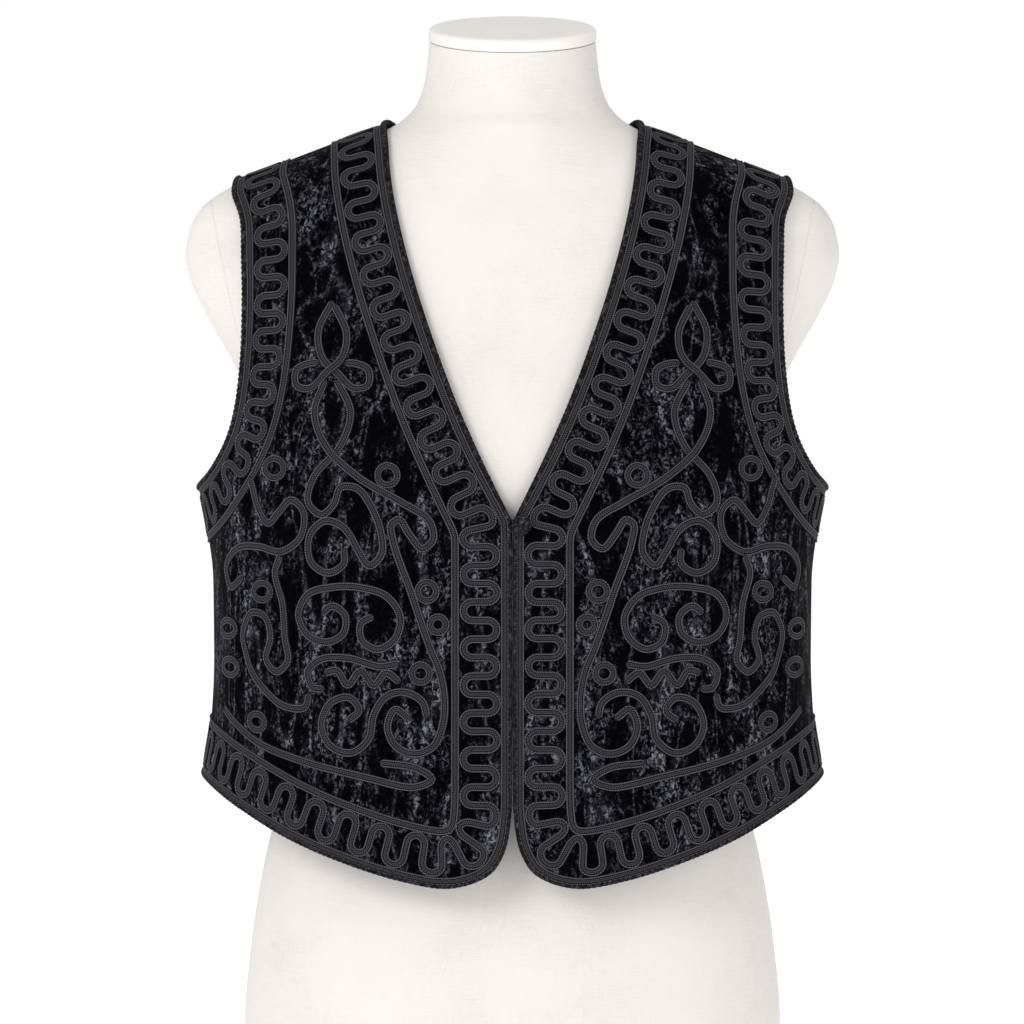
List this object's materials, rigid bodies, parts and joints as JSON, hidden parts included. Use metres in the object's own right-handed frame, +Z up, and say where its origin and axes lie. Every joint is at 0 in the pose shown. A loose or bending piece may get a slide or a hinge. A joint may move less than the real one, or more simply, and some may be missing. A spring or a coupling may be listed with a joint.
{
  "type": "velvet vest on dress form",
  "caption": "Sleeveless velvet vest with a deep V neck, laid braid borders and scrolls and a covered button, resting on a limbless linen dress form with a capped neck.",
  "frame": {"origin": "on the form's flat bottom, in line with the side seams and the centre front", "axes": "+Z up, the front towards -Y, the wearer's left side at +X"},
  "size_m": [0.4304, 0.263, 0.7245],
  "materials": {
    "velvet": "crushed pile",
    "braid": "matt flat braid",
    "linen": "matt woven",
    "lacquer": "satin lacquer"
  },
  "bodies": {
    "root": {"armhole_left_edging": "velvet", "armhole_left_line_inner": "braid", "armhole_left_line_outer": "braid", "armhole_left_serpentine": "braid", "armhole_right_edging": "velvet", "armhole_right_line_inner": "braid", "armhole_right_line_outer": "braid", "armhole_right_serpentine": "braid", "back": "velvet", "border_edging": "velvet", "border_line_inner": "braid", "border_line_outer": "braid", "border_serpentine": "braid", "button": "velvet", "dress_form": "linen", "front_left": "velvet", "front_right": "velvet", "neck_cap": "lacquer", "ring_left_1": "braid", "ring_left_2": "braid", "ring_left_3": "braid", "ring_left_4": "braid", "ring_left_5": "braid", "ring_left_6": "braid", "ring_left_7": "braid", "ring_left_8": "braid", "ring_left_9": "braid", "ring_right_1": "braid", "ring_right_2": "braid", "ring_right_3": "braid", "ring_right_4": "braid", "ring_right_5": "braid", "ring_right_6": "braid", "ring_right_7": "braid", "ring_right_8": "braid", "ring_right_9": "braid", "scroll_left_bar": "braid", "scroll_left_bar_hem": "braid", "scroll_left_bar_zigzag": "braid", "scroll_left_bow_side": "braid", "scroll_left_bows": "braid", "scroll_left_horns": "braid", "scroll_left_leaf_inner": "braid", "scroll_left_leaf_outer": "braid", "scroll_left_stem_inner": "braid", "scroll_left_stem_outer": "braid", "scroll_left_vine_side": "braid", "scroll_right_bar": "braid", "scroll_right_bar_hem": "braid", "scroll_right_bar_zigzag": "braid", "scroll_right_bow_side": "braid", "scroll_right_bows": "braid", "scroll_right_horns": "braid", "scroll_right_leaf_inner": "braid", "scroll_right_leaf_outer": "braid", "scroll_right_stem_inner": "braid", "scroll_right_stem_outer": "braid", "scroll_right_vine_side": "braid"}
  },
  "joints": []
}
